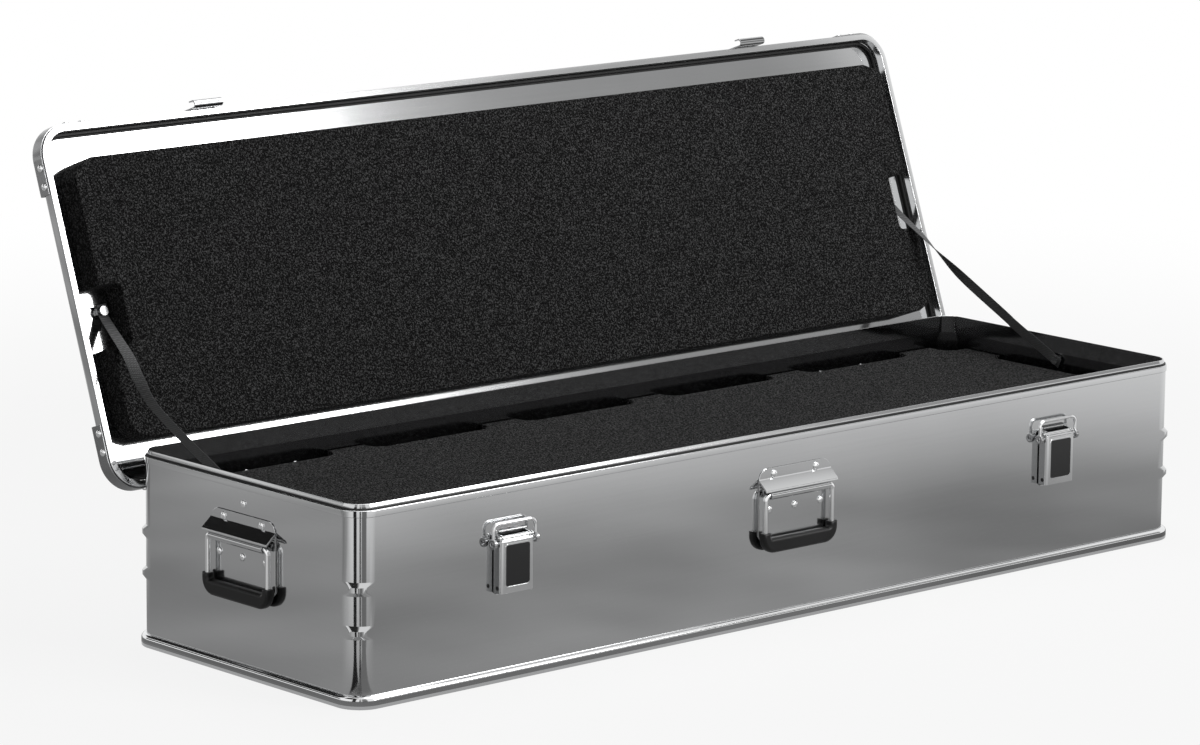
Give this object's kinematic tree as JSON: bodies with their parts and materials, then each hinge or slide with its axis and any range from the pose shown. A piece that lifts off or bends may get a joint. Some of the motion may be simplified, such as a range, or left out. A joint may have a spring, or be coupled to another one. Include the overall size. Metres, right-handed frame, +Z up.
{
  "type": "aluminium transport case",
  "caption": "Long low aluminium transport case: hinged overhanging lid, toggle latches, drop handles, lid straps and a stack of cut foam layers.",
  "frame": {"origin": "centre of the case body's underside", "axes": "+X along the case, -Y the side with the latches, +Z up"},
  "size_m": [1.2458, 0.5331, 0.5393],
  "materials": {
    "sheet": "mill finish sheet, lightly brushed",
    "extrusion": "satin extrusion",
    "bracket": "satin grey",
    "steel": "zinc plated, bright",
    "wire": "polished",
    "grip": "moulded, satin",
    "inlay": "blank label plate",
    "foam": "fine-celled foam",
    "webbing": "woven webbing"
  },
  "bodies": {
    "case": {"body_shell": "sheet", "body_rim": "extrusion", "base_hoop": "extrusion", "handle_front_plate": "sheet", "handle_left_plate": "sheet", "handle_right_plate": "sheet", "latch_left_base": "steel", "latch_left_pin": "steel", "latch_right_base": "steel", "latch_right_pin": "steel", "hinge_left_body_leaf": "steel", "hinge_left_pin": "steel", "hinge_right_body_leaf": "steel", "hinge_right_pin": "steel", "strap_wall_anchor_left": "steel", "strap_wall_anchor_right": "steel"},
    "lid": {"lid_shell": "sheet", "lid_frame": "extrusion", "lid_bracket_front_left": "bracket", "lid_bracket_front_right": "bracket", "lid_bracket_rear_right": "bracket", "lid_bracket_rear_left": "bracket", "lid_catch_left": "steel", "lid_catch_right": "steel", "lid_liner": "foam", "hinge_left_lid_leaf": "steel", "hinge_right_lid_leaf": "steel", "strap_left": "webbing", "strap_right": "webbing", "strap_lid_anchor_left": "steel", "strap_lid_anchor_right": "steel"},
    "handle_front": {"handle_front_bail": "wire", "handle_front_grip": "grip"},
    "handle_left": {"handle_left_bail": "wire", "handle_left_grip": "grip"},
    "handle_right": {"handle_right_bail": "wire", "handle_right_grip": "grip"},
    "latch_left": {"latch_left_lever": "steel", "latch_left_inlay": "inlay"},
    "latch_left_loop": {"latch_left_bail": "wire"},
    "latch_right": {"latch_right_lever": "steel", "latch_right_inlay": "inlay"},
    "latch_right_loop": {"latch_right_bail": "wire"},
    "foam_1": {"foam_layer_1": "foam"},
    "foam_2": {"foam_layer_2": "foam"},
    "foam_3": {"foam_layer_3": "foam"},
    "foam_4": {"foam_layer_4": "foam"},
    "foam_5": {"foam_layer_5": "foam"}
  },
  "joints": [
    {"name": "lid_hinge", "type": "hinge", "parent": "case", "child": "lid", "pos_m": [0, 0.1836, 0.1817], "axis": [-1, 0, 0], "range_deg": [-110.1, 0], "deforming": ["strap_left", "strap_right"]},
    {"name": "handle_front_swing", "type": "hinge", "parent": "case", "child": "handle_front", "pos_m": [0, -0.188, 0.142], "axis": [1, 0, 0], "range_deg": [-90, 0]},
    {"name": "handle_left_swing", "type": "hinge", "parent": "case", "child": "handle_left", "pos_m": [-0.608, 0, 0.142], "axis": [0, -1, 0], "range_deg": [-90, 0]},
    {"name": "handle_right_swing", "type": "hinge", "parent": "case", "child": "handle_right", "pos_m": [0.608, 0, 0.142], "axis": [0, 1, 0], "range_deg": [-90, 0]},
    {"name": "latch_left_lever_swing", "type": "hinge", "parent": "case", "child": "latch_left", "pos_m": [-0.4, -0.1885, 0.151], "axis": [1, 0, 0], "range_deg": [-100, 0]},
    {"name": "latch_left_loop_swing", "type": "hinge", "parent": "latch_left", "child": "latch_left_loop", "pos_m": [-0.4, -0.1873, 0.146], "axis": [1, 0, 0], "range_deg": [0, 100]},
    {"name": "latch_right_lever_swing", "type": "hinge", "parent": "case", "child": "latch_right", "pos_m": [0.4, -0.1885, 0.151], "axis": [1, 0, 0], "range_deg": [-100, 0]},
    {"name": "latch_right_loop_swing", "type": "hinge", "parent": "latch_right", "child": "latch_right_loop", "pos_m": [0.4, -0.1873, 0.146], "axis": [1, 0, 0], "range_deg": [0, 100]},
    {"name": "foam_1_lift", "type": "slide", "parent": "case", "child": "foam_1", "axis": [0, 0, 1], "range_m": [0, 0.2382]},
    {"name": "foam_2_lift", "type": "slide", "parent": "foam_1", "child": "foam_2", "axis": [0, 0, 1], "range_m": [0, 0.0332]},
    {"name": "foam_3_lift", "type": "slide", "parent": "foam_2", "child": "foam_3", "axis": [0, 0, 1], "range_m": [0, 0.0337]},
    {"name": "foam_4_lift", "type": "slide", "parent": "foam_3", "child": "foam_4", "axis": [0, 0, 1], "range_m": [0, 0.034]},
    {"name": "foam_5_lift", "type": "slide", "parent": "foam_4", "child": "foam_5", "axis": [0, 0, 1], "range_m": [0, 0.0342]}
  ],
  "couplings": [
    {"joint": "latch_left_loop_swing", "follows": "latch_left_lever_swing", "ratio": -1},
    {"joint": "latch_right_loop_swing", "follows": "latch_right_lever_swing", "ratio": -1}
  ]
}
